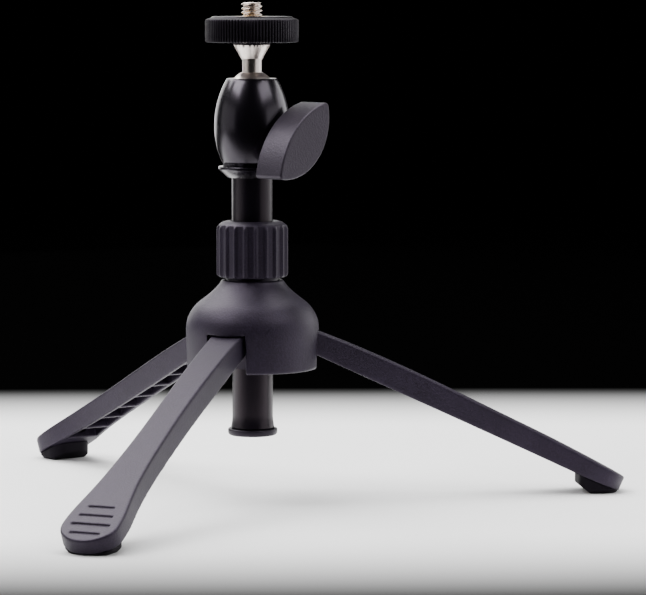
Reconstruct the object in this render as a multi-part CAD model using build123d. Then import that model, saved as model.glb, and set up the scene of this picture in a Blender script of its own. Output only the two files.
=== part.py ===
from build123d import *
import math
import os

# Mini table-top tripod: three folding legs on a bell-shaped hub, a sliding column with a
# twist collar, and a ball head with a camera screw and a lock disc.
# Millimetres, +Z up. The origin is on the column axis at floor level; leg 1 lies along +X.

# ------------------------------------------------------------------ driving dimensions
# Legs, measured in the plane of one leg: along it from the pin, and square to it.
leg_count = 3
leg_length = 111.3          # pin to toe
leg_slope = 25.0            # opened leg below the horizontal, degrees
leg_underside = 2.0         # straight underside below the pin
leg_root_top = 4.4          # top face above the pin, at the root
leg_crown_top = 5.55        # at the crown, a third of the way out
leg_middle_top = 5.0        # past the middle
leg_ankle_top = 4.2         # where the foot begins
leg_toe_top = 2.9
leg_toe_lift = 0.4          # foot's underside rises this much towards the toe
leg_waist_width = 9.2
leg_ankle_width = 14.1
foot_width = 17.6
leg_wall = 1.7              # channel walls
leg_skin = 1.9              # channel roof
leg_edge_round = 0.6
rib_pitch = 10.0
rib_thickness = 1.3
rib_dish = 2.2              # hollow in each rib's free edge
rib_dish_half = 3.2
pocket_boss_r = 1.9
pocket_boss_length = 3.0
foot_groove_width = 0.8
foot_groove_depth = 0.6
foot_groove_pitch = 3.95
foot_groove_edge = 3.7      # last groove from the toe
foot_groove_lengths = (9.5, 12.1, 10.5, 8.3)

# Leg pivots
pin_r = 1.0
running_gap = 0.05          # radial, wherever one piece turns in another
leg_knuckle_r = 3.1
slot_width = 12.4
slot_side_gap = 0.9         # leg to slot, each side
slot_headroom = 0.58        # slot's roof above the leg's root, square to the leg
knuckle_gap = 0.4           # knuckle to the core's sleeve

# Foot pads
toe_rise = 0.31             # toe's lower edge above the floor
pad_length = 12.8
pad_width = 14.6
pad_corner = 4.5
pad_toe_inset = 0.8
pad_chamfer = 1.2
pad_heel_length = 3.2       # slanted heel, along the floor
pad_heel_height = 2.6
pad_peg_r = 2.2
pad_peg_length = 2.0

# Column
column_r = 6.2
column_wall = 1.2
column_length = 76.2
column_drop = 27.0          # tube's lower end below the pins
bore_clearance = 0.08       # column in the core's bore
flare_swell = 0.4
flare_length = 4.2
end_cap_lip = 1.34          # end cap proud of the tube
end_cap_thickness = 2.1
end_cap_gap = 0.35
end_cap_plug = 6.0
plug_length = 12.0

# Hub, walls outwards from the column and heights from the pins
sleeve_wall = 3.72
sleeve_recess = 0.6         # sleeve ends this far above the housing's lower edge
ear_thickness = 2.2
ear_rim = 1.37              # ear beyond the pin
ear_drop = 7.4              # ears reach this far below the pins
core_gap = 0.3              # core to housing skirt
core_flange = 2.8
core_screw_count = 3
core_screw_r = 0.95
core_screw_bite = 3.0       # thread in the housing
core_screw_head_r = 1.8
core_screw_head = 1.2
core_screw_slot = 0.4
core_screw_gap = 0.2        # screw head to the sleeve and the ears
hub_wall = 2.0
hub_draft = 0.35            # skirt narrows by this at its lower edge
hub_skirt = 8.9             # lower edge below the pins
hub_shoulder = 2.0          # widest point above the pins
hub_top = 18.1              # top face above the pins
hub_roof = 9.6              # flat inner roof above the pins
hub_neck_wall = 1.22        # housing outside the thread, at its top
hub_roof_margin = 1.0       # flat roof beyond the core screws
hub_foot_round = 0.5

# Collet and lock collar
collet_wall = 0.9
thread_wall = 0.8
thread_clearance = 0.08
thread_length = 10.2        # neck above the housing
collet_seat_depth = 5.0
collet_flange = 1.2
collet_nose = 4.8
collet_nose_step = 0.05     # nose's tip narrower than the skirt
collet_slit = 0.8
collet_slits = 4
collar_wall = 2.82
collar_gap = 0.9            # collar above the housing
collar_height = 17.0
collar_shoulder = 3.6       # dome's width
collar_dome = 2.7           # dome's height
collar_foot_round = 1.3
collar_mouth_gap = 0.35     # collar's mouth round the column
flute_count = 20
flute_width = 2.55
flute_depth = 0.5

# Ball head, walls outwards from the ball's socket
ball_r = 7.1
ball_depth = 4.5            # ball centre below the head's rim
cup_clearance = 0.1
cup_floor = 1.8
cup_rim_drop = 2.9          # cup's rim below the ball centre
head_belly_wall = 4.29
head_bottom_wall = 1.97
head_groove_wall = 1.75
head_groove = 1.0
head_rim_wall = 2.04        # at the mouth
head_rim_round = 0.5
head_belly_share = 0.435    # belly's height as a share of the barrel's
base_foot_lip = 1.4         # base ring proud of the tube
base_rim_lip = 1.34         # base ring proud of the groove
base_cone = 2.2
base_rim = 1.0
base_step = 0.2
spigot = 3.5                # threaded spigot of the base in the head
head_bolt_r = 3.0
head_bolt_head_r = 4.6
head_bolt_head = 2.2
head_bolt_hex = 2.2
head_bolt_bite = 9.0

# Clamp knob on its screw
clamp_screw_r = 2.5
clamp_screw_bed = 7.5       # screw's length in the knob
clamp_seat_gap = 0.2        # screw in the pressure block
clamp_tip = 3.2             # screw's end from the head's axis
clamp_tip_r = 0.6
clamp_cone = 2.0
block_floor = 1.2           # pressure block below the screw
block_roof = 3.35           # and above it
knob_azimuth = -50.0
knob_belly_gap = 1.45       # knob's rear face beyond the belly
knob_thickness = 10.4
knob_half_length = 15.3
knob_lean = 42.8            # long axis from the vertical, degrees
knob_full_side = 8.5        # bulge of the fuller side
knob_flat_side = 5.0        # bulge of the flatter side
knob_tip_offset = 2.0       # tips off the screw's axis, towards the flatter side
knob_tip_round = 1.3
knob_edge_round = 0.5
knob_neck_r = 4.0
spot_face_depth = 1.24      # spot face inside the belly
spot_face_r = 4.6
knob_washer_r = 4.3
knob_washer = 0.7

# Camera stud, flange and lock disc
stud_r = 3.175              # 1/4 inch
stud_exposed = 4.2
stud_relief = 0.25
stud_chamfer = 0.5
stud_seat = 4.4             # stud's lower end below the ball centre
flange_bottom = 10.4        # cone's lower edge above the ball centre
flange_cone = 4.1
flange_spread = 2.325       # cone's top edge outside the stud
flange_lip = 0.1
flange_washer = 0.7
disc_r = 14.15
disc_height = 7.8
disc_chamfer = 0.5
disc_land_inset = 1.85      # raised flat inside the knurled rim
disc_land = 0.6
disc_land_bevel = 0.3
insert_wall = 2.0
insert_clearance = 0.06
lift_gap = 0.05             # axial, wherever one piece turns on another

# ------------------------------------------------------------------ sizes worked out
slope = math.radians(leg_slope)
bore_r = column_r + bore_clearance
tube_bore_r = column_r - column_wall
core_sleeve_r = bore_r + sleeve_wall
pivot_r = core_sleeve_r + knuckle_gap + leg_knuckle_r
leg_root_width = slot_width - 2 * slot_side_gap
ear_outer = slot_width / 2 + ear_thickness
skirt_bore_r = math.hypot(pivot_r + pin_r + ear_rim, ear_outer) + core_gap
hub_r = skirt_bore_r + hub_wall
screw_head_room = core_screw_head_r + core_screw_gap
ear_clear_circle = (ear_outer + screw_head_room) / math.sin(math.pi / leg_count)
core_screw_circle = max(core_sleeve_r + screw_head_room, ear_clear_circle)
hub_roof_r = core_screw_circle + hub_roof_margin
collet_bore_r = column_r + running_gap
collet_skirt_r = collet_bore_r + collet_wall
collet_nose_r = collet_skirt_r - collet_nose_step
thread_r = collet_skirt_r + running_gap + thread_wall
hub_neck_r = thread_r + thread_clearance + hub_neck_wall
collar_r = thread_r + thread_clearance + collar_wall
socket_r = ball_r + running_gap
head_belly_r = socket_r + head_belly_wall
head_groove_r = socket_r + head_groove_wall
head_mouth_r = math.sqrt(socket_r ** 2 - ball_depth ** 2) + head_rim_wall
knob_above_base = spigot + block_floor + clamp_screw_r
block_height = block_floor + 2 * clamp_screw_r + block_roof
cup_below = socket_r + cup_floor
head_height = spigot + block_height + lift_gap + cup_below + ball_depth - head_groove
knob_rear = head_belly_r + knob_belly_gap
knob_front = knob_rear + knob_thickness
spot_face = head_belly_r - spot_face_depth
clamp_screw_end = knob_rear + clamp_screw_bed
insert_r = stud_r + insert_clearance + insert_wall
disc_land_r = disc_r - disc_land_inset

# ------------------------------------------------------------------ heights worked out
pivot_z = toe_rise + leg_length * math.sin(slope) + (leg_underside - leg_toe_lift) * math.cos(slope)
hub_bottom_z = pivot_z - hub_skirt
hub_top_z = pivot_z + hub_top
roof_z = pivot_z + hub_roof
thread_top_z = hub_top_z + thread_length
collet_seat_z = thread_top_z - collet_seat_depth
collet_top_z = thread_top_z + collet_flange + collet_nose
collar_z = hub_top_z + collar_gap
collar_top_z = collar_z + collar_height
column_z = pivot_z - column_drop
column_top_z = column_z + column_length
base_top_z = column_top_z + base_step + base_cone + base_rim
barrel_z = base_top_z + head_groove
head_top_z = barrel_z + head_height
ball_z = head_top_z - ball_depth
knob_z = base_top_z + knob_above_base
flange_z = ball_z + flange_bottom
washer_z = flange_z + flange_cone + flange_lip
disc_z = washer_z + flange_washer + lift_gap
disc_top_z = disc_z + disc_height
stud_top_z = disc_top_z + stud_exposed
far = 200.0                 # longer than anything here, for cutting tools

base = (Align.CENTER, Align.CENTER, Align.MIN)
leg_side = Plane(
    origin=(pivot_r, 0, pivot_z),
    x_dir=(math.cos(slope), 0, -math.sin(slope)),
    z_dir=(0, -1, 0),
)
leg_plan = Plane(
    origin=(pivot_r, 0, pivot_z),
    x_dir=(math.cos(slope), 0, -math.sin(slope)),
    z_dir=(math.sin(slope), 0, math.cos(slope)),
)
knob_turn = math.radians(knob_azimuth)
knob_plane = Plane(
    origin=(0, 0, knob_z),
    x_dir=(-math.sin(knob_turn), math.cos(knob_turn), 0),
    z_dir=(math.cos(knob_turn), math.sin(knob_turn), 0),
)


# ------------------------------------------------------------------ shared shapes
def rod(radius, low, high):
    """Round bar on the column axis."""
    return Pos(0, 0, low) * Cylinder(radius, high - low, align=base)


def ring(outer, inner, low, high):
    """Round tube on the column axis."""
    return rod(outer, low, high) - rod(inner, low - 1, high + 1)


def turned(*edges):
    """Solid turned about the column axis from edges drawn as (radius, height)."""
    return revolve(Plane.XZ * make_face(edges), Axis.Z)


def cross_rod(radius, near, end):
    """Round bar along the clamp screw's axis, between two distances from the head's axis."""
    return extrude(knob_plane.offset(near) * Circle(radius), end - near)


def around(piece, index):
    """Copy of a leg's piece turned to another leg's place."""
    return Rot(0, 0, index * 360 / leg_count) * piece


# ------------------------------------------------------------------ hub
def hub_outline():
    """Bell: hollow under the neck, round over the shoulder, slight draft on the skirt."""
    shoulder_z = pivot_z + hub_shoulder
    rise = hub_top_z - shoulder_z
    swell = hub_r - hub_neck_r
    bell = Spline(
        (hub_neck_r, hub_top_z),
        (hub_neck_r + 0.19 * swell, hub_top_z - 0.17 * rise),
        (hub_neck_r + 0.46 * swell, hub_top_z - 0.33 * rise),
        (hub_neck_r + 0.73 * swell, hub_top_z - 0.48 * rise),
        (hub_neck_r + 0.91 * swell, hub_top_z - 0.66 * rise),
        (hub_r, shoulder_z),
        tangents=((1, -2), (0, -1)),
    )
    rest = Polyline(
        (hub_r, shoulder_z),
        (hub_r - hub_draft, hub_bottom_z),
        (0, hub_bottom_z),
        (0, hub_top_z),
        (hub_neck_r, hub_top_z),
    )
    return bell, rest


def hub_cavity(gap):
    """Space inside the bell, drawn in by a gap on every side but its roof."""
    wide = skirt_bore_r - gap
    shoulder_z = pivot_z + hub_shoulder
    crown = TangentArc((wide, shoulder_z), (hub_roof_r - gap, roof_z), tangent=(0, 1))
    rest = Polyline(
        (hub_roof_r - gap, roof_z),
        (0, roof_z),
        (0, hub_bottom_z - 1),
        (wide - hub_draft, hub_bottom_z - 1),
        (wide, shoulder_z),
    )
    return turned(crown, rest)


def leg_slot():
    """Opening in the skirt for the leg along +X, with a roof that follows the leg."""
    inside = hub_r - 2.5 * hub_wall
    outside = hub_r + 10
    rise = (leg_root_top + slot_headroom) / math.cos(slope)
    face = make_face(
        Polyline(
            (inside, hub_bottom_z - 2),
            (outside, hub_bottom_z - 2),
            (outside, pivot_z + rise - (outside - pivot_r) * math.tan(slope)),
            (inside, pivot_z + rise - (inside - pivot_r) * math.tan(slope)),
            (inside, hub_bottom_z - 2),
        )
    )
    return extrude(Plane.XZ * face, slot_width / 2, both=True)


def core_screw_places():
    """The screws sit half-way between the legs."""
    between = 180 / leg_count
    return PolarLocations(core_screw_circle, core_screw_count, start_angle=between)


def hub_housing():
    bell = turned(*hub_outline())
    bell = fillet(bell.edges().sort_by(Axis.Z)[:1], hub_foot_round)
    bell -= hub_cavity(0)
    bell -= rod(thread_r + thread_clearance, roof_z - 1, hub_top_z + 1)
    for index in range(leg_count):
        bell -= around(leg_slot(), index)
    for place in core_screw_places():
        bell -= place * rod(core_screw_r, roof_z - 1, roof_z + core_screw_bite)
    return bell


def ears():
    """Block for the pair of ears of the leg along +X, before the leg's window is cut."""
    width = 2 * ear_outer
    align = (Align.MIN, Align.CENTER, Align.MIN)
    block = Pos(0, 0, pivot_z - ear_drop) * Box(hub_r, width, hub_roof + ear_drop, align=align)
    return block - Pos(pivot_r, 0, pivot_z) * Rot(90, 0, 0) * Cylinder(pin_r, 2 * width)


def hub_core():
    core_bottom_z = hub_bottom_z + sleeve_recess
    body = rod(hub_r, roof_z - core_flange, roof_z)
    for index in range(leg_count):
        body += around(ears(), index)
    body &= hub_cavity(core_gap)
    for index in range(leg_count):
        body -= around(leg_window(), index)
    body += rod(core_sleeve_r, core_bottom_z, roof_z)
    body += rod(thread_r, roof_z, thread_top_z)
    body -= rod(bore_r, core_bottom_z - 1, thread_top_z + 1)
    body -= rod(collet_skirt_r + running_gap, collet_seat_z, thread_top_z + 1)
    for place in core_screw_places():
        body -= place * rod(core_screw_r, roof_z - core_flange - 1, roof_z + 1)
    return body


def leg_window():
    """Room for the leg along +X between its ears, from the sleeve outwards."""
    low = pivot_z - ear_drop - 1
    align = (Align.MIN, Align.CENTER, Align.MIN)
    window = Box(far, slot_width, roof_z - core_flange - low, align=align)
    return Pos(core_sleeve_r - 1, 0, low) * window


def core_screws():
    """Pan-head screws driven up through the core's flange into the housing."""
    seat = roof_z - core_flange
    screw = rod(core_screw_r, seat, roof_z + core_screw_bite)
    screw += rod(core_screw_head_r, seat - core_screw_head, seat)
    for turn in (0, 90):
        bar = Box(1.4 * core_screw_head_r, core_screw_slot, core_screw_head)
        screw -= Pos(0, 0, seat - core_screw_head) * Rot(0, 0, turn) * bar
    return [place * screw for place in core_screw_places()]


def leg_pin():
    """Steel pin through both ears and the knuckle of the leg along +X."""
    return Pos(pivot_r, 0, pivot_z) * Rot(90, 0, 0) * Cylinder(pin_r, 2 * ear_outer)


# ------------------------------------------------------------------ legs
def leg_profile(lower):
    """Side view of a leg, run on past the toe; lower brings its top face down by that much."""
    ankle = 0.869 * leg_length
    end = leg_length + 4
    toe_slope = leg_toe_lift / (leg_length - ankle)
    top = Spline(
        (2.0, leg_root_top - lower),
        (0.314 * leg_length, leg_crown_top - lower),
        (0.577 * leg_length, leg_middle_top - lower),
        (0.805 * leg_length, leg_ankle_top - lower),
        (leg_length, leg_toe_top - lower),
        (end, leg_toe_top - lower - 0.2),
    )
    rest = Polyline(
        (end, leg_toe_top - lower - 0.2),
        (end, (end - ankle) * toe_slope - leg_underside),
        (ankle, -leg_underside),
        (0, -leg_underside),
        (-2.4, 1.9 - lower),
        (2.0, leg_root_top - lower),
    )
    return make_face([top, rest])


def leg_plan_view(inset):
    """Plan of a leg, drawn in by an inset: narrow waist, spreading to a round-ended foot."""
    widest = 0.93 * leg_length
    edge = foot_width / 2 - inset
    root = leg_root_width / 2 - inset
    waist = leg_waist_width / 2 - inset
    ankle = leg_ankle_width / 2 - inset
    toe_x = leg_length - inset
    flanks = [
        Spline(
            (-2.4, side * root),
            (0.22 * leg_length, side * (0.75 * waist + 0.25 * root)),
            (0.4 * leg_length, side * waist),
            (0.62 * leg_length, side * (0.77 * waist + 0.23 * ankle)),
            (0.805 * leg_length, side * ankle),
            (widest, side * edge),
            tangents=((1, -0.03 * side), (1, 0)),
        )
        for side in (1, -1)
    ]
    toe_halves = [
        Spline(
            (widest, side * edge),
            (widest + math.sin(math.radians(45)) * (toe_x - widest), side * math.cos(math.radians(45)) * edge),
            (toe_x, 0),
            tangents=((1, 0), (0, -side)),
        )
        for side in (1, -1)
    ]
    return make_face([*flanks, *toe_halves, Line((-2.4, root), (-2.4, -root))])


def leg_body(lower, inset):
    """Side view and plan crossed; lower brings the top down and inset draws the plan in."""
    side_solid = extrude(leg_side.offset(-far / 4) * leg_profile(lower), far / 2)
    plan_solid = extrude(leg_plan.offset(-far / 4) * leg_plan_view(inset), far / 2)
    return side_solid & plan_solid


def leg_pockets():
    """Hollow under the leg, in bays between cross ribs, with a round boss in every second bay."""
    start = 2 * leg_knuckle_r + 4
    end = 0.835 * leg_length
    low = -leg_underside - 1
    roof = extrude(leg_side.offset(-far / 4) * pocket_profile(), far / 2)
    plan_solid = extrude(leg_plan.offset(low) * leg_plan_view(leg_wall), 12)
    hollow = roof & plan_solid
    dish_r = (rib_dish_half ** 2 + rib_dish ** 2) / (2 * rib_dish)
    dish_plane = Plane(origin=leg_side.origin, x_dir=(0, 1, 0), z_dir=leg_side.x_dir)
    dish = extrude(dish_plane * (Pos(0, leg_underside + dish_r - rib_dish) * Circle(dish_r)), far)
    bays = int((end - start) / rib_pitch)
    pitch = (end - start) / bays
    pockets = []
    for index in range(bays):
        middle = start + (index + 0.5) * pitch
        bay = Pos(middle, 0) * Rectangle(pitch - rib_thickness, foot_width)
        pocket = hollow & extrude(leg_plan.offset(low) * bay, 12)
        if index % 2:
            drop = leg_crown_top - leg_skin - pocket_boss_length
            pocket -= extrude(leg_plan.offset(drop) * (Pos(middle, 0) * Circle(pocket_boss_r)), 12)
        pockets.append(pocket)
    return pockets, hollow & dish


def pocket_profile():
    """Side view of the hollow under the leg, open below."""
    top = Spline(
        (2.0, leg_root_top - leg_skin),
        (0.314 * leg_length, leg_crown_top - leg_skin),
        (0.577 * leg_length, leg_middle_top - leg_skin),
        (0.835 * leg_length, leg_ankle_top - leg_skin),
    )
    rest = Polyline(
        (0.835 * leg_length, leg_ankle_top - leg_skin),
        (0.835 * leg_length, -leg_underside - 1),
        (2.0, -leg_underside - 1),
        (2.0, leg_root_top - leg_skin),
    )
    return make_face([top, rest])


def foot_grooves():
    """Finger grooves across the top of the foot, counted in from the toe."""
    tool = None
    for index, length in enumerate(foot_groove_lengths):
        along = leg_length - foot_groove_edge - index * foot_groove_pitch
        cut = Pos(along, 0) * Rot(0, 0, 90) * SlotOverall(length, foot_groove_width)
        solid = extrude(leg_plan * cut, 20)
        tool = solid if tool is None else tool + solid
    return tool - leg_body(foot_groove_depth, 0)


def leg():
    """The leg along +X."""
    body = leg_body(0, 0)
    rim = [e for e in body.edges() if leg_plan.to_local_coords(e).center().Z > 2.2]
    rim = [e for e in rim if leg_plan.to_local_coords(e).center().X > 0 and e.length > foot_width / 2]
    body = fillet(rim, leg_edge_round)
    knuckle_half = slot_width / 2 - running_gap
    knuckle = extrude(leg_side * Circle(leg_knuckle_r), knuckle_half, both=True)
    body += knuckle
    pockets, dish = leg_pockets()
    for pocket in pockets:
        body -= pocket
    body -= dish
    body -= foot_grooves()
    body -= extrude(leg_side * Circle(pin_r + running_gap), far, both=True)
    body -= pad_peg()
    return body


def pad_reach():
    """Pad's middle on the floor, from the column's axis."""
    toe = pivot_r + leg_length * math.cos(slope)
    return toe - pad_toe_inset - pad_length / 2


def pad_peg():
    """Peg on the pad, square to the foot's underside."""
    along = (pad_reach() - pivot_r + leg_underside * math.sin(slope)) / math.cos(slope)
    sole = leg_plan.offset(-leg_underside - 1)
    return extrude(sole * (Pos(along, 0) * Circle(pad_peg_r)), pad_peg_length + 1.6)


def foot_pad():
    """Rubber pad under the foot of the leg along +X, flat on the floor."""
    outline = Pos(pad_reach(), 0) * RectangleRounded(pad_length, pad_width, pad_corner)
    pad = extrude(outline, 12)
    pad = chamfer(pad.faces().sort_by(Axis.Z)[0].edges(), pad_chamfer)
    back = pad_reach() - pad_length / 2
    heel = make_face(
        Polyline(
            (back - 1, -1),
            (back + pad_heel_length, -1),
            (back + pad_heel_length, 0),
            (back, pad_heel_height),
            (back - 1, pad_heel_height),
            (back - 1, -1),
        )
    )
    pad -= extrude(Plane.XZ * heel, pad_width, both=True)
    above = make_face(
        Polyline(
            (0, -leg_underside),
            (0.869 * leg_length, -leg_underside),
            (leg_length, leg_toe_lift - leg_underside),
            (leg_length + 20, leg_toe_lift - leg_underside + 2),
            (leg_length + 20, 40),
            (0, 40),
            (0, -leg_underside),
        )
    )
    pad -= extrude(leg_side * above, far / 4, both=True)
    peg = pad_peg() - pad
    return pad + peg


# ------------------------------------------------------------------ column
def column_tube():
    flare_top = column_z + flare_length
    flare_r = column_r + flare_swell
    flare = ThreePointArc(
        (column_r, flare_top),
        (column_r + 0.25 * flare_swell, column_z + 0.45 * flare_length),
        (flare_r, column_z),
    )
    rest = Polyline(
        (flare_r, column_z),
        (tube_bore_r, column_z),
        (tube_bore_r, column_top_z),
        (column_r, column_top_z),
        (column_r, flare_top),
    )
    return turned(flare, rest)


def column_end_cap():
    top = column_z - end_cap_gap
    low = top - end_cap_thickness
    cap = rod(column_r + end_cap_lip, low, top)
    cap = fillet(cap.edges().sort_by(Axis.Z)[0], 0.9)
    cap = fillet(cap.edges().sort_by(Axis.Z)[-1], 0.4)
    cap += rod(column_r, top - 0.5, column_z)
    cap += rod(tube_bore_r, column_z - 1, column_z + end_cap_plug)
    return cap


def column_plug_piece():
    plug = rod(tube_bore_r, column_top_z - plug_length, column_top_z)
    return plug - rod(head_bolt_r, column_top_z - head_bolt_bite, column_top_z + 1)


# ------------------------------------------------------------------ collet and collar
def collet():
    """Sleeve seated in the threaded neck, split from above and tapered at its nose."""
    sleeve = turned(
        Polyline(
            (collet_bore_r, collet_seat_z + lift_gap),
            (collet_skirt_r, collet_seat_z + lift_gap),
            (collet_skirt_r, thread_top_z + lift_gap),
            (thread_r, thread_top_z + lift_gap),
            (thread_r, thread_top_z + collet_flange),
            (collet_nose_r, collet_top_z),
            (collet_bore_r, collet_top_z),
            (collet_bore_r, collet_seat_z + lift_gap),
        )
    )
    slit_z = collet_seat_z + 1.5
    for index in range(collet_slits // 2):
        slit = Pos(0, 0, slit_z) * Box(4 * thread_r, collet_slit, far, align=base)
        sleeve -= Rot(0, 0, 45 + index * 360 / collet_slits) * slit
    return sleeve


def lock_collar():
    """Cap nut: threaded below, coned inside over the collet, fluted outside."""
    flange_top = thread_top_z + collet_flange + lift_gap
    nose_top = collet_top_z + lift_gap
    thread = thread_r + thread_clearance
    nose = collet_nose_r + collet_nose_step + thread_clearance
    flat_r = collar_r - collar_shoulder
    mouth = column_r + collar_mouth_gap
    shoulder = (collar_r, collar_top_z - collar_dome)
    dome = TangentArc((flat_r, collar_top_z), shoulder, tangent=(1, 0))
    rest = Polyline(
        (collar_r, collar_top_z - collar_dome),
        (collar_r, collar_z),
        (thread, collar_z),
        (thread, flange_top),
        (nose, nose_top),
        (mouth, nose_top),
        (mouth, collar_top_z),
        (flat_r, collar_top_z),
    )
    collar = turned(dome, rest)
    foot = [e for e in collar.edges().filter_by(GeomType.CIRCLE) if abs(e.radius - collar_r) < 0.01]
    collar = fillet(ShapeList(foot).sort_by(Axis.Z)[0], collar_foot_round)
    flute_top = collar_top_z - collar_dome - 0.1
    low = collar_z - 1
    for index in range(flute_count):
        flute = Pos(collar_r - flute_depth, 0, low) * Box(
            4, flute_width, flute_top - low, align=(Align.MIN, Align.CENTER, Align.MIN)
        )
        collar -= Rot(0, 0, (index + 0.5) * 360 / flute_count) * flute
    return collar


# ------------------------------------------------------------------ ball head
def head_base():
    """Turned base: cone below, threaded spigot above, counterbored for the bolt."""
    foot_r = column_r + base_foot_lip
    rim_r = head_groove_r + base_rim_lip
    lip_z = column_top_z + base_step
    cone_z = lip_z + base_cone
    body = turned(
        Polyline(
            (head_bolt_r, column_top_z),
            (foot_r, column_top_z),
            (foot_r, lip_z),
            (rim_r, cone_z),
            (rim_r, base_top_z),
            (socket_r, base_top_z),
            (socket_r, base_top_z + spigot),
            (head_bolt_r, base_top_z + spigot),
            (head_bolt_r, column_top_z),
        )
    )
    seat = base_top_z + spigot - head_bolt_head
    return body - rod(head_bolt_head_r, seat, base_top_z + spigot + 1)


def head_bolt():
    seat = base_top_z + spigot - head_bolt_head
    bolt = rod(head_bolt_r, column_top_z - head_bolt_bite, seat)
    bolt += rod(head_bolt_head_r, seat, base_top_z + spigot)
    socket = extrude(Plane.XY.offset(seat + 0.6) * RegularPolygon(head_bolt_hex, 6), 10)
    return bolt - socket


def head_body():
    """Barrel that holds the ball: bored from below, with a round-edged mouth above."""
    head_bottom_r = socket_r + head_bottom_wall
    barrel = ThreePointArc(
        (head_bottom_r, barrel_z),
        (head_belly_r, barrel_z + head_belly_share * head_height),
        (head_mouth_r, head_top_z),
    )
    rest = Polyline(
        (head_mouth_r, head_top_z),
        (0, head_top_z),
        (0, base_top_z),
        (head_groove_r, base_top_z),
        (head_groove_r, barrel_z),
        (head_bottom_r, barrel_z),
    )
    body = turned(barrel, rest)
    rim = body.faces().sort_by(Axis.Z)[-1].edges()
    body = fillet(rim, head_rim_round)
    body -= rod(socket_r, base_top_z - 1, ball_z)
    body -= Pos(0, 0, ball_z) * Sphere(socket_r)
    body -= cross_rod(clamp_screw_r + running_gap, 0, far / 4)
    return body - cross_rod(spot_face_r, spot_face, far / 4)


def pressure_block():
    """Slug under the cup: the clamp screw's cone enters its side and lifts it."""
    low = base_top_z + spigot
    slug = rod(socket_r - cup_clearance, low, low + block_height)
    tip = clamp_tip - clamp_seat_gap
    slug -= cross_rod(clamp_screw_r + clamp_seat_gap, tip + clamp_cone, far / 4)
    return slug - clamp_cone_solid(tip, clamp_seat_gap)


def ball_cup():
    """Plastic cup that the ball sits in, free to turn about the head's axis."""
    low = ball_z - cup_below
    cup = rod(socket_r - cup_clearance, low, ball_z - cup_rim_drop)
    return cup - Pos(0, 0, ball_z) * Sphere(socket_r)


def clamp_cone_solid(near, growth):
    """Cone of the clamp screw's tip, larger all round by a growth."""
    tip = knob_plane.offset(near)
    wide = tip.offset(clamp_cone)
    return loft([tip * Circle(clamp_tip_r + growth), wide * Circle(clamp_screw_r + growth)])


def clamp_screw():
    shank = cross_rod(clamp_screw_r, clamp_tip + clamp_cone, clamp_screw_end)
    return shank + clamp_cone_solid(clamp_tip, 0)


def knob_outline():
    """Leaf: a fuller and a flatter arc that meet at two round tips."""
    low = (-knob_tip_offset, -knob_half_length)
    high = (-knob_tip_offset, knob_half_length)
    full = ThreePointArc(low, (knob_full_side - knob_tip_offset, 0), high)
    flat = ThreePointArc(high, (-knob_flat_side - knob_tip_offset, 0), low)
    leaf = make_face([full, flat])
    return Rot(0, 0, -knob_lean) * fillet(leaf.vertices(), knob_tip_round)


def clamp_knob():
    knob = extrude(knob_plane.offset(knob_rear) * knob_outline(), knob_front - knob_rear)
    front = knob.faces().sort_by(Axis(knob_plane.origin, knob_plane.z_dir))[-1]
    knob = fillet(front.edges(), knob_edge_round)
    knob += cross_rod(knob_neck_r, spot_face + lift_gap + knob_washer, knob_rear + 1)
    return knob - cross_rod(clamp_screw_r, 0, clamp_screw_end)


def knob_washer_piece():
    near = spot_face + lift_gap
    washer = cross_rod(knob_washer_r, near, near + knob_washer)
    return washer - cross_rod(clamp_screw_r, 0, far / 4)


# ------------------------------------------------------------------ camera stud and disc
def ball():
    return Pos(0, 0, ball_z) * Sphere(ball_r) - rod(stud_r, ball_z - stud_seat, ball_z + far)


def camera_screw():
    """Stud pressed in the ball: plain neck, relief inside the disc, full size above it."""
    relief_low = washer_z + flange_washer
    stud = rod(stud_r, ball_z - stud_seat, stud_top_z)
    stud = chamfer(stud.edges().sort_by(Axis.Z)[-1], stud_chamfer)
    return stud - ring(stud_r + 1, stud_r - stud_relief, relief_low, disc_top_z)


def stem_flange():
    """Cone pressed on the stud, with a thin upright lip."""
    flange_r = stud_r + flange_spread
    top = flange_z + flange_cone
    return turned(
        Polyline(
            (stud_r, flange_z),
            (stud_r + flange_lip, flange_z),
            (flange_r, top),
            (flange_r, washer_z),
            (stud_r, washer_z),
            (stud_r, flange_z),
        )
    )


def flange_washer_piece():
    return ring(stud_r + flange_spread, stud_r, washer_z, washer_z + flange_washer)


def lock_disc():
    """Ring that turns up against the camera's base; its knurl is finer than these sizes."""
    rim_top = disc_top_z - disc_land
    return turned(
        Polyline(
            (insert_r, disc_z),
            (disc_r - disc_chamfer, disc_z),
            (disc_r, disc_z + disc_chamfer),
            (disc_r, rim_top - disc_chamfer),
            (disc_r - disc_chamfer, rim_top),
            (disc_land_r + disc_land_bevel, rim_top),
            (disc_land_r, disc_top_z),
            (insert_r, disc_top_z),
            (insert_r, disc_z),
        )
    )


def disc_insert():
    """Threaded bush in the disc; it climbs the stud as the disc turns."""
    return ring(insert_r, stud_r + insert_clearance, disc_z, disc_top_z)


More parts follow.
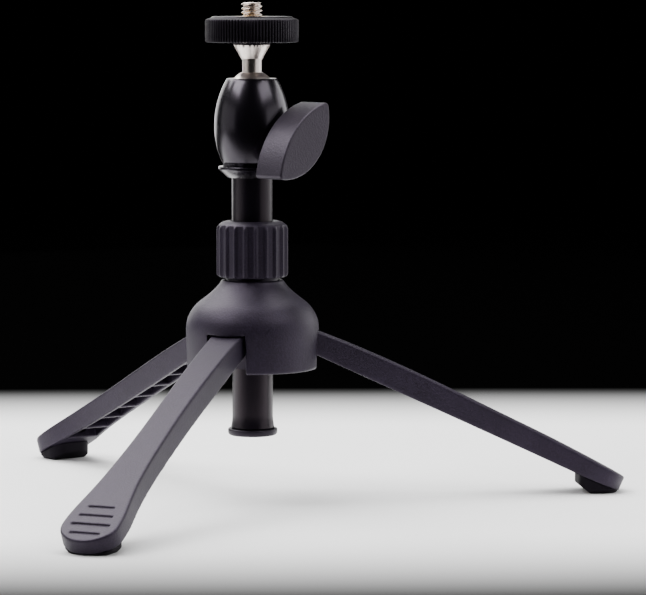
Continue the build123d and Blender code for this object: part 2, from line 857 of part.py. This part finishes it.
# ------------------------------------------------------------------ write the pieces
pieces = {
    "hub_housing": hub_housing(),
    "hub_core": hub_core(),
    "core_screws": core_screws(),
    "collet": collet(),
    "lock_collar": lock_collar(),
    "column_tube": column_tube(),
    "column_end_cap": column_end_cap(),
    "column_plug": column_plug_piece(),
    "head_base": head_base(),
    "head_bolt": head_bolt(),
    "head_body": head_body(),
    "pressure_block": pressure_block(),
    "ball_cup": ball_cup(),
    "clamp_screw": clamp_screw(),
    "knob_washer": knob_washer_piece(),
    "clamp_knob": clamp_knob(),
    "ball": ball(),
    "camera_screw": camera_screw(),
    "stem_flange": stem_flange(),
    "flange_washer": flange_washer_piece(),
    "disc_insert": disc_insert(),
    "lock_disc": lock_disc(),
}
first_leg = leg()
first_pad = foot_pad()
for number in range(leg_count):
    pieces[f"leg_pin_{number + 1}"] = around(leg_pin(), number)
    pieces[f"leg_{number + 1}"] = around(first_leg, number)
    pieces[f"foot_pad_{number + 1}"] = around(first_pad, number)

os.makedirs("parts", exist_ok=True)
for name, shape in pieces.items():
    solids = shape if isinstance(shape, list) else [shape]
    export_step(Compound(children=solids) if len(solids) > 1 else solids[0], f"parts/{name}.step")
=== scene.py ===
import bpy
import math
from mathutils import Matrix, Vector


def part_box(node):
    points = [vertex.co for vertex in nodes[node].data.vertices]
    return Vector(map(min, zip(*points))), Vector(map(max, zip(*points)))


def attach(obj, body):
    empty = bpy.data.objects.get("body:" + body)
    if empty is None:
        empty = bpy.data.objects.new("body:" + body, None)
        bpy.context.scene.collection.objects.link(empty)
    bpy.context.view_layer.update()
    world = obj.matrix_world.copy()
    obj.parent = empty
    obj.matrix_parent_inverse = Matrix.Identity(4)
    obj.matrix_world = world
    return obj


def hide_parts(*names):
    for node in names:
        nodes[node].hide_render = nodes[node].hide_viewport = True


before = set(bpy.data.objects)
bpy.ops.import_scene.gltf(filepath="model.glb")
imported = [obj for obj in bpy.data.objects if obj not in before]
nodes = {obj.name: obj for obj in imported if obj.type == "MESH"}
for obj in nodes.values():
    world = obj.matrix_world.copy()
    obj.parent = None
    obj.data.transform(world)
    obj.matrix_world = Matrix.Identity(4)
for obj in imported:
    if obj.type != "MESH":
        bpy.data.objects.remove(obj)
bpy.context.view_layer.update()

# ---------------------------------------------------------------- camera
# A long lens a metre away, at the height of the camera screw's tip and looking slightly
# down; the view has leg 1 out to the right.
camera_azimuth = math.radians(-5.7)
camera_distance = 1.0
camera_height = 0.1556
camera_pitch = math.radians(-5.385)
camera_pan = math.radians(-1.23)
lens = bpy.data.cameras.new("camera")
lens.lens = 183.9
lens.sensor_width = 36
lens.clip_end = 500
camera = bpy.data.objects.new("camera", lens)
bpy.context.scene.collection.objects.link(camera)
camera.location = (
    camera_distance * math.sin(camera_azimuth),
    -camera_distance * math.cos(camera_azimuth),
    camera_height,
)
camera.rotation_euler = (math.pi / 2 + camera_pitch, 0, camera_azimuth + camera_pan)
bpy.context.scene.camera = camera


# ---------------------------------------------------------------- floor
# A wide sheet of matt card with a painted pool of light: white in a long oval across the view,
# fading to painted shade, near black, beyond it.
# Middle and half widths of the painted pool of light, in metres.
light_pool_middle = (0.022, 0.045)
light_pool_half = (0.9, 0.2)


def linear(hex_colour):
    """sRGB hex colour as linear red, green, blue and alpha."""
    values = [int(hex_colour[i:i + 2], 16) / 255 for i in (1, 3, 5)]
    lit = [v / 12.92 if v <= 0.04045 else ((v + 0.055) / 1.055) ** 2.4 for v in values]
    return (*lit, 1.0)


def add_node(tree, kind, settings=None, sockets=None, links=None):
    """A shader node, with its settings, its sockets' values and its incoming links."""
    new = tree.nodes.new(kind)
    for name, value in (settings or {}).items():
        setattr(new, name, value)
    for name, value in (sockets or {}).items():
        new.inputs[name].default_value = value
    for name, source in (links or {}).items():
        tree.links.new(source, new.inputs[name])
    return new


def new_material(name):
    """An empty material with its tree, its surface shader and its object coordinates."""
    made = bpy.data.materials.new(name)
    made.use_nodes = True
    tree = made.node_tree
    shader = tree.nodes["Principled BSDF"]
    place = add_node(tree, "ShaderNodeTexCoord").outputs["Object"]
    return made, tree, shader, place


pool_lit_card, tree, shader, place = new_material("matt card with painted pool of light")
fibres = add_node(tree, "ShaderNodeTexNoise", None,
                  {"Scale": 400.0, "Detail": 3.0}, {"Vector": place})
tone = add_node(tree, "ShaderNodeValToRGB", None, None, {"Fac": fibres.outputs["Fac"]})
tone.color_ramp.elements[0].color = linear("#fafafa")
tone.color_ramp.elements[1].color = linear("#fdfdfd")
# The painted pool of light: an oval set across the view, white inside, fading outwards to
# painted shade.
light_pool_shape = add_node(tree, "ShaderNodeMapping", {"vector_type": "TEXTURE"}, {
    "Location": (*light_pool_middle, 0),
    "Rotation": (0, 0, camera_azimuth),
    "Scale": (*light_pool_half, 1),
}, {"Vector": place})
reach = add_node(tree, "ShaderNodeVectorMath", {"operation": "LENGTH"},
                 None, {"Vector": light_pool_shape.outputs["Vector"]})
fade = add_node(tree, "ShaderNodeMapRange", {"interpolation_type": "SMOOTHSTEP"},
                {"From Min": 0.55, "From Max": 1.15}, {"Value": reach.outputs["Value"]})
# Painted shade: near-black card beyond the painted pool of light.
painted_shade_beyond = add_node(tree, "ShaderNodeMix", {"data_type": "RGBA"}, {7: linear("#020202")},
                 {"Factor": fade.outputs["Result"], 6: tone.outputs["Color"]})
tree.links.new(painted_shade_beyond.outputs[2], shader.inputs["Base Color"])
shader.inputs["Roughness"].default_value = 0.9
shader.inputs["Specular IOR Level"].default_value = 0.0
bpy.ops.object.select_all(action="DESELECT")
bpy.ops.mesh.primitive_plane_add(size=300)
floor = bpy.context.object
floor.name = "floor"
floor.data.materials.append(pool_lit_card)


# ---------------------------------------------------------------- studio light
# A dim room with large softboxes: a key high on the left, a weaker fill on the right, faint
# walls and strips low at the sides, two high behind, and the strongest overhead.
def softbox(name, azimuth, elevation, distance, width, height, power):
    """Area light on a sphere round the tripod's middle, facing it; azimuth from the camera."""
    light = bpy.data.lights.new(name, "AREA")
    light.shape = "RECTANGLE"
    light.size = width
    light.size_y = height
    light.energy = power
    lamp = bpy.data.objects.new(name, light)
    bpy.context.scene.collection.objects.link(lamp)
    turn = math.radians(azimuth) + camera_azimuth
    rise = math.radians(elevation)
    lamp.location = (
        distance * math.sin(turn) * math.cos(rise),
        -distance * math.cos(turn) * math.cos(rise),
        0.08 + distance * math.sin(rise),
    )
    lamp.rotation_euler = (math.pi / 2 - rise, 0, turn)


room = bpy.data.worlds.new("dim room")
bpy.context.scene.world = room
room.use_nodes = True
room.node_tree.nodes["Background"].inputs["Color"].default_value = linear("#c8ccd4")
room.node_tree.nodes["Background"].inputs["Strength"].default_value = 0.015
softbox("key", -70, 48, 0.9, 0.5, 0.4, 6.5)
softbox("fill", 58, 42, 0.9, 0.65, 0.35, 3.4)
softbox("left_wall", -82, 8.3, 0.9, 0.9, 0.4, 0.85)
softbox("right_wall", 70, 8.3, 0.9, 0.8, 0.4, 1.3)
softbox("left_strip", -160, 11.8, 0.9, 0.75, 0.5, 2.6)
softbox("right_strip", 120, 11.8, 0.9, 0.7, 0.5, 2.8)
softbox("back_left", -127, 46, 0.9, 0.6, 0.5, 7.5)
softbox("back", 178, 50, 1.1, 1.0, 0.45, 2.6)
softbox("overhead", 178, 82, 1.1, 1.0, 0.8, 18.5)


# ---------------------------------------------------------------- hub housing
# The bell over the leg pivots: ABS, dyed charcoal, injection moulded in a spark-eroded
# tool, so it is matt with a fine pebble.  Three screws from below hold it to the core.
def finished_copy(node, name, smooth=32):
    """The node's own shape as a whole skin, shaded round wherever it turns gently."""
    bpy.ops.object.select_all(action="DESELECT")
    piece = nodes[node].copy()
    piece.data = nodes[node].data.copy()
    piece.parent = None
    piece.name = name
    bpy.context.scene.collection.objects.link(piece)
    bpy.context.view_layer.objects.active = piece
    piece.select_set(True)
    bpy.ops.object.mode_set(mode="EDIT")
    bpy.ops.mesh.select_all(action="SELECT")
    bpy.ops.mesh.remove_doubles(threshold=2e-6)
    bpy.ops.object.mode_set(mode="OBJECT")
    bpy.ops.object.shade_smooth_by_angle(angle=math.radians(smooth))
    even = piece.modifiers.new("even", "WEIGHTED_NORMAL")
    even.keep_sharp = True
    even.weight = 100
    bpy.ops.object.modifier_apply(modifier="even")
    return piece


def soften_edges(piece, grain_mm, passes=3):
    """Recast the skin as an even fine mesh and relax it, which rounds every edge a little."""
    cast = piece.modifiers.new("cast", "REMESH")
    cast.mode = "VOXEL"
    cast.voxel_size = grain_mm / 1000
    bpy.ops.object.modifier_apply(modifier="cast")
    relax = piece.modifiers.new("relax", "SMOOTH")
    relax.factor = 0.5
    relax.iterations = passes
    bpy.ops.object.modifier_apply(modifier="relax")
    bpy.ops.object.shade_smooth()


def dress(piece, material):
    """The piece in one material."""
    piece.data.materials.clear()
    piece.data.materials.append(material)


def moulded(name, dark, light, rough, pebble_mm, depth_mm, ior=1.54, sheen=0.36):
    """Moulded plastic: a pebbled skin that also mottles its colour and its gloss."""
    made, tree, shader, place = new_material(name)
    pebble = add_node(tree, "ShaderNodeTexNoise", None,
                      {"Scale": 1000 / pebble_mm, "Detail": 2.0, "Roughness": 0.55},
                      {"Vector": place})
    cloud = add_node(tree, "ShaderNodeTexNoise", None,
                     {"Scale": 1000 / (18 * pebble_mm), "Detail": 3.0}, {"Vector": place})
    blend = add_node(tree, "ShaderNodeMix", {"data_type": "FLOAT"}, {"Factor": 0.35},
                     {"A": pebble.outputs["Fac"], "B": cloud.outputs["Fac"]})
    tone = add_node(tree, "ShaderNodeValToRGB", None, None, {"Fac": blend.outputs["Result"]})
    tone.color_ramp.elements[0].position = 0.36
    tone.color_ramp.elements[1].position = 0.64
    tone.color_ramp.elements[0].color = linear(dark)
    tone.color_ramp.elements[1].color = linear(light)
    gloss = add_node(tree, "ShaderNodeMapRange", None,
                     {"To Min": rough - 0.07, "To Max": rough + 0.07},
                     {"Value": blend.outputs["Result"]})
    bump = add_node(tree, "ShaderNodeBump", None,
                    {"Strength": 1.0, "Distance": depth_mm / 1000},
                    {"Height": pebble.outputs["Fac"]})
    tree.links.new(tone.outputs["Color"], shader.inputs["Base Color"])
    tree.links.new(gloss.outputs["Result"], shader.inputs["Roughness"])
    tree.links.new(bump.outputs["Normal"], shader.inputs["Normal"])
    shader.inputs["IOR"].default_value = ior
    shader.inputs["Specular IOR Level"].default_value = sheen
    shader.inputs["Specular Tint"].default_value = linear("#d8c8e2")
    return made


charcoal_abs = moulded("spark textured charcoal ABS", "#141018", "#231d2a", 0.47, 0.55, 0.06)
bell = finished_copy("hub_housing", "hub_bell")
soften_edges(bell, 0.3)
dress(bell, charcoal_abs)
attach(bell, "hub")
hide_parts("hub_housing")

# ---------------------------------------------------------------- hub core
# The part inside the bell that carries the pivots and the collar's thread: black ABS,
# with the smoother skin of a part that isn't seen.
black_abs = moulded("moulded black ABS", "#0c0a0f", "#151318", 0.42, 0.4, 0.03)
core = finished_copy("hub_core", "pivot_core")
dress(core, black_abs)
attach(core, "hub")
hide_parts("hub_core")


# ---------------------------------------------------------------- core screws and leg pins
# Small steel screws and ground steel pins, zinc plated: grey-blue, half bright, with
# fine drawing lines from the wire they were headed from.
def plated(name, dark, light, rough, grain_mm):
    """Plated metal with fine mottling of its brightness."""
    made, tree, shader, place = new_material(name)
    grain = add_node(tree, "ShaderNodeTexNoise", None,
                     {"Scale": 1000 / grain_mm, "Detail": 3.0}, {"Vector": place})
    tone = add_node(tree, "ShaderNodeValToRGB", None, None, {"Fac": grain.outputs["Fac"]})
    tone.color_ramp.elements[0].position = 0.3
    tone.color_ramp.elements[1].position = 0.7
    tone.color_ramp.elements[0].color = linear(dark)
    tone.color_ramp.elements[1].color = linear(light)
    gloss = add_node(tree, "ShaderNodeMapRange", None,
                     {"To Min": rough - 0.05, "To Max": rough + 0.05},
                     {"Value": grain.outputs["Fac"]})
    bump = add_node(tree, "ShaderNodeBump", None,
                    {"Strength": 0.3, "Distance": 0.00001}, {"Height": grain.outputs["Fac"]})
    tree.links.new(tone.outputs["Color"], shader.inputs["Base Color"])
    tree.links.new(gloss.outputs["Result"], shader.inputs["Roughness"])
    tree.links.new(bump.outputs["Normal"], shader.inputs["Normal"])
    shader.inputs["Metallic"].default_value = 1.0
    return made


zinc = plated("bright zinc plate on steel", "#a9adb2", "#c3c6ca", 0.32, 0.4)
for node in ("core_screws", "leg_pin_1", "leg_pin_2", "leg_pin_3"):
    dress(nodes[node], zinc)

# ---------------------------------------------------------------- legs
# Channel-section legs in the bell's charcoal ABS, open below with cross ribs, swung out
# on their pins until they meet the bell; four grooves in each foot for the fingers.
for number in (1, 2, 3):
    leg = finished_copy(f"leg_{number}", f"channel_leg_{number}")
    soften_edges(leg, 0.3)
    dress(leg, charcoal_abs)
    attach(leg, f"leg_{number}")
    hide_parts(f"leg_{number}")

# ---------------------------------------------------------------- foot pads
# Black nitrile rubber pads plugged into the feet: dull, slightly dusty on the faces.
rubber = moulded("moulded black nitrile rubber", "#060507", "#0e0c10", 0.7, 0.3, 0.02, 1.52, 0.2)
for number in (1, 2, 3):
    pad = finished_copy(f"foot_pad_{number}", f"rubber_foot_{number}")
    soften_edges(pad, 0.22, 8)
    dress(pad, rubber)
    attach(pad, f"leg_{number}")
    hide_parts(f"foot_pad_{number}")

# ---------------------------------------------------------------- collet
# Split sleeve that the collar squeezes on the column: turned acetal, black and waxy.
acetal = moulded("turned black acetal", "#121114", "#1a191c", 0.35, 0.2, 0.006, 1.48)
dress(nodes["collet"], acetal)


# ---------------------------------------------------------------- lock collar
# The twist collar above the bell, moulded in the same charcoal ABS, with twenty shallow
# flat flutes that run out in its domed shoulder.
def turn_up(name, rings, sides):
    """A closed skin of round rings about the column's axis, each ring (radius, height) in mm."""
    bpy.ops.object.select_all(action="DESELECT")
    radius, height = rings[0]
    bpy.ops.mesh.primitive_circle_add(vertices=sides, radius=radius / 1000)
    piece = bpy.context.object
    piece.name = name
    bpy.ops.object.mode_set(mode="EDIT")
    bpy.ops.transform.translate(value=(0, 0, height / 1000))
    for next_radius, next_height in rings[1:]:
        rise = (0, 0, (next_height - height) / 1000)
        bpy.ops.mesh.extrude_region_move(TRANSFORM_OT_translate={"value": rise})
        growth = next_radius / radius
        middle = (0, 0, next_height / 1000)
        bpy.ops.transform.resize(value=(growth, growth, 1), center_override=middle)
        radius, height = next_radius, next_height
    bpy.ops.mesh.select_all(action="SELECT")
    bpy.ops.mesh.remove_doubles(threshold=4e-6)
    bpy.ops.mesh.normals_make_consistent(inside=False)
    bpy.ops.object.mode_set(mode="OBJECT")
    bpy.ops.object.shade_smooth_by_angle(angle=math.radians(32))
    return piece


def press_in(piece, wanted, scale):
    """Draw the wanted vertices straight in towards the column's axis."""
    bpy.ops.object.mode_set(mode="EDIT")
    bpy.ops.mesh.select_all(action="DESELECT")
    bpy.ops.object.mode_set(mode="OBJECT")
    for vertex in piece.data.vertices:
        vertex.select = wanted(vertex.co)
    bpy.ops.object.mode_set(mode="EDIT")
    bpy.ops.transform.resize(value=(scale, scale, 1), center_override=(0, 0, 0))
    bpy.ops.object.mode_set(mode="OBJECT")


low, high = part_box("lock_collar")
collar_low = low[2] * 1000
collar_high = high[2] * 1000
collar_r = high[0] * 1000
collar_bore = 6.6
collar_inner = 8.05
dome_width = 3.7
dome_rise = 2.8
foot_round = 1.2
flute_depth = 0.72
flute_floor = collar_r - flute_depth
flute_count = 20
columns = 10                # of vertices to a flute
rings = [(collar_inner, collar_low), (collar_r - foot_round, collar_low)]
for step in range(1, 7):
    turn = math.pi / 2 * step / 6
    rings.append((
        collar_r - foot_round * (1 - math.sin(turn)),
        collar_low + foot_round * (1 - math.cos(turn)),
    ))
side_low = collar_low + foot_round
side_high = collar_high - dome_rise
for step in range(1, 9):
    rings.append((collar_r, side_low + (side_high - side_low) * step / 8))
for step in range(1, 17):
    turn = math.pi / 2 * step / 16
    rings.append((
        collar_r - dome_width * (1 - math.cos(turn)),
        side_high + dome_rise * math.sin(turn),
    ))
rings += [
    (collar_bore + 0.2, collar_high),
    (collar_bore, collar_high - 0.2),
    (collar_bore, collar_high - 4.6),
    (collar_inner, collar_high - 4.6),
    (collar_inner, collar_low),
]
collar = turn_up("fluted_collar", rings, flute_count * columns)
flute_phase = math.radians(5.8) + camera_azimuth - math.pi / 2
for radius, height in sorted(set(rings)):
    if radius <= flute_floor or height < collar_low:
        continue

    def in_flute(place, radius=radius, height=height):
        angle = math.atan2(place.y, place.x) - flute_phase
        share = (angle / (2 * math.pi) * flute_count) % 1
        near = abs(math.hypot(place.x, place.y) * 1000 - radius) < 0.02
        return near and abs(place.z * 1000 - height) < 0.02 and 0.12 < share < 0.88

    press_in(collar, in_flute, flute_floor / radius)
dress(collar, charcoal_abs)
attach(collar, "collar")
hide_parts("lock_collar")

# ---------------------------------------------------------------- column
# Thin aluminium tube, stoved in satin black paint, flared below to keep its end cap.
satin_paint = moulded("satin black stove enamel on aluminium", "#07050a", "#0c0910",
                      0.3, 0.6, 0.006, 1.5)
shader = satin_paint.node_tree.nodes["Principled BSDF"]
shader.inputs["Specular Tint"].default_value = linear("#e2cbda")
shader.inputs["Coat Weight"].default_value = 0.1
shader.inputs["Coat Roughness"].default_value = 0.3
tube = finished_copy("column_tube", "column_skin")
dress(tube, satin_paint)
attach(tube, "column")
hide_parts("column_tube")

# ---------------------------------------------------------------- end cap and plugs
# The cap pushed into the tube's flared end, and the plug that the head's bolt pulls on.
cap = finished_copy("column_end_cap", "tube_end_cap")
soften_edges(cap, 0.2)
dress(cap, black_abs)
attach(cap, "column")
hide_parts("column_end_cap")
dress(nodes["column_plug"], black_abs)
dress(nodes["head_bolt"], zinc)


# ---------------------------------------------------------------- ball head
# Barrel and base ring, die cast and turned, then sprayed gloss black: deep black with
# clear reflections, very slightly rippled.
def lacquered(name, dark, light, rough):
    """Gloss paint: near black, clear coated, with a faint ripple."""
    made, tree, shader, place = new_material(name)
    ripple = add_node(tree, "ShaderNodeTexNoise", None,
                      {"Scale": 900.0, "Detail": 2.0}, {"Vector": place})
    tone = add_node(tree, "ShaderNodeValToRGB", None, None, {"Fac": ripple.outputs["Fac"]})
    tone.color_ramp.elements[0].color = linear(dark)
    tone.color_ramp.elements[1].color = linear(light)
    bump = add_node(tree, "ShaderNodeBump", None,
                    {"Strength": 0.25, "Distance": 0.00001}, {"Height": ripple.outputs["Fac"]})
    tree.links.new(tone.outputs["Color"], shader.inputs["Base Color"])
    tree.links.new(bump.outputs["Normal"], shader.inputs["Normal"])
    shader.inputs["Roughness"].default_value = rough
    shader.inputs["Specular Tint"].default_value = linear("#dccde6")
    shader.inputs["Coat Weight"].default_value = 0.3
    shader.inputs["Coat Roughness"].default_value = 0.18
    return made


gloss_black = lacquered("gloss black spray lacquer", "#040306", "#070509", 0.26)
barrel = finished_copy("head_body", "head_barrel")
low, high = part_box("head_base")
base_low = low[2] * 1000
base_high = high[2] * 1000
base_r = high[0] * 1000
tube_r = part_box("column_tube")[1][0] * 1000 - 0.4
spigot_r = 5.6
groove_r = base_r - 1.34
rim_low = base_high - 3.5 - 1.0
base_ring = turn_up("head_base_ring", [
    (3.2, base_low + 0.2),
    (tube_r - 0.3, base_low + 0.2),
    (tube_r + 1.2, base_low),
    (tube_r + 1.4, base_low + 0.05),
    (base_r - 0.3, rim_low - 0.1),
    (base_r - 0.05, rim_low + 0.1),
    (base_r, rim_low + 0.35),
    (base_r, rim_low + 0.75),
    (base_r - 0.1, rim_low + 0.93),
    (base_r - 0.3, rim_low + 1.0),
    (groove_r, rim_low + 1.0),
    (spigot_r, rim_low + 1.05),
    (spigot_r, base_high),
    (3.2, base_high),
    (3.2, base_low + 0.2),
], 128)
for piece, node in ((barrel, "head_body"), (base_ring, "head_base")):
    dress(piece, gloss_black)
    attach(piece, "column")
    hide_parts(node)
dress(nodes["pressure_block"], acetal)

# ---------------------------------------------------------------- clamp knob
# Leaf-shaped wing knob moulded on its screw: glass-filled nylon, matt and granular.
nylon = moulded("glass filled black nylon", "#131016", "#252028", 0.47, 0.55, 0.08, 1.53, 0.5)
knob = finished_copy("clamp_knob", "wing_knob")
soften_edges(knob, 0.2, 2)
dress(knob, nylon)
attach(knob, "knob")
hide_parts("clamp_knob")
dress(nodes["clamp_screw"], zinc)
dress(nodes["knob_washer"], acetal)

# ---------------------------------------------------------------- cup, ball and stem
# Steel ball and cone, nickel plated and polished, in a black acetal cup.
nickel = plated("polished nickel plate on steel", "#e4d8d0", "#f2e8e1", 0.32, 1.2)
dress(nodes["ball_cup"], acetal)
for node, name in (("ball", "stem_ball"), ("stem_flange", "stem_cone")):
    piece = finished_copy(node, name)
    dress(piece, nickel)
    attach(piece, "stem")
    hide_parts(node)
fibre = moulded("black vulcanised fibre", "#171418", "#231f24", 0.7, 0.3, 0.02, 1.5)
dress(nodes["flange_washer"], fibre)

# ---------------------------------------------------------------- camera screw
# Quarter inch, twenty threads to the inch: rolled thread with round crests, nickel plated
# with the stem; its plain shank passes down through the disc into the ball.
low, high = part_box("camera_screw")
screw_top = high[2] * 1000
screw_low = low[2] * 1000
crest_r = 3.175
root_r = 2.45
pitch = 1.27
disc_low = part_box("lock_disc")[0][2] * 1000
shank = turn_up("camera_stud", [
    (0.003, screw_low),
    (2.9, screw_low),
    (2.9, disc_low - 5.2),
    (3.14, disc_low - 5.2),
    (3.14, disc_low - 4.6),
    (2.9, disc_low - 4.6),
    (2.9, disc_low + 2.0),
    (root_r, disc_low + 2.4),
    (root_r, screw_top - 0.25),
    (root_r - 0.3, screw_top),
    (0.003, screw_top),
], 48)
turns = 4.9
thread_steps = 48 * 5
thread_low = screw_top - turns * pitch
bpy.ops.object.select_all(action="DESELECT")
bpy.ops.mesh.primitive_circle_add(vertices=6, radius=0.0005, rotation=(math.pi / 2, 0, 0))
thread = bpy.context.object
thread.name = "thread"
bpy.ops.object.transform_apply(location=True, rotation=True, scale=True)
tooth = [
    (root_r - 0.15, -0.60),
    (root_r, -0.56),
    (crest_r - 0.03, -0.1),
    (crest_r - 0.03, 0.1),
    (root_r, 0.56),
    (root_r - 0.15, 0.60),
]
for vertex, (radius, height) in zip(thread.data.vertices, tooth):
    vertex.co = (radius / 1000, 0, (thread_low + height) / 1000)
helix = thread.modifiers.new("helix", "SCREW")
helix.axis = "Z"
helix.angle = 2 * math.pi * turns
helix.screw_offset = turns * pitch / 1000
helix.steps = thread_steps
helix.render_steps = thread_steps
bpy.ops.object.modifier_apply(modifier="helix")
bpy.ops.object.mode_set(mode="EDIT")
bpy.ops.mesh.select_all(action="SELECT")
bpy.ops.mesh.bisect(
    plane_co=(0, 0, screw_top / 1000),
    plane_no=(0, 0, 1),
    use_fill=True,
    clear_outer=True,
    threshold=1e-7,
)
bpy.ops.mesh.select_all(action="SELECT")
bpy.ops.mesh.normals_make_consistent(inside=False)
bpy.ops.object.mode_set(mode="OBJECT")
bpy.ops.object.select_all(action="DESELECT")
thread.select_set(True)
shank.select_set(True)
bpy.context.view_layer.objects.active = shank
bpy.ops.object.join()
bpy.ops.object.shade_smooth_by_angle(angle=math.radians(35))
dress(shank, nickel)
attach(shank, "stem")
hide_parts("camera_screw")

# ---------------------------------------------------------------- lock disc
# Knurled disc that screws up the stud against the camera: black ABS over a brass bush,
# ninety straight teeth round its rim and a raised flat on top.
low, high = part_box("lock_disc")
disc_low = low[2] * 1000
disc_high = high[2] * 1000
disc_r = high[0] * 1000
bush_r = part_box("disc_insert")[1][0] * 1000
land_r = 12.2
rim_high = disc_high - 0.75
tooth_count = 90
tooth_depth = 0.3
rings = [
    (bush_r, disc_low),
    (disc_r - 0.6, disc_low),
    (disc_r - 0.15, disc_low + 0.12),
    (disc_r, disc_low + 0.45),
    (disc_r, disc_low + 2.5),
    (disc_r, rim_high - 2.5),
    (disc_r, rim_high - 0.5),
    (disc_r - 0.2, rim_high - 0.12),
    (disc_r - 0.7, rim_high + 0.08),
    (land_r + 0.15, disc_high - 0.35),
    (land_r, disc_high - 0.1),
    (land_r - 0.25, disc_high),
    (bush_r, disc_high),
    (bush_r, disc_low),
]
disc = turn_up("knurled_disc", rings, tooth_count * 4)
for radius, height in rings[1:9]:
    def in_root(place, radius=radius, height=height):
        share = (math.atan2(place.y, place.x) / (2 * math.pi) * tooth_count) % 1
        near = abs(math.hypot(place.x, place.y) * 1000 - radius) < 0.02
        root = share < 0.1 or 0.2 < share < 0.3 or share > 0.9
        return near and abs(place.z * 1000 - height) < 0.02 and root

    press_in(disc, in_root, (radius - tooth_depth) / radius)
disc_abs = moulded("knurled black ABS", "#040305", "#0a080b", 0.34, 0.4, 0.02, 1.54, 0.25)
dress(disc, disc_abs)
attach(disc, "disc")
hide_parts("lock_disc")
brass = plated("turned brass", "#b08d4a", "#c7a45c", 0.28, 0.5)
dress(nodes["disc_insert"], brass)
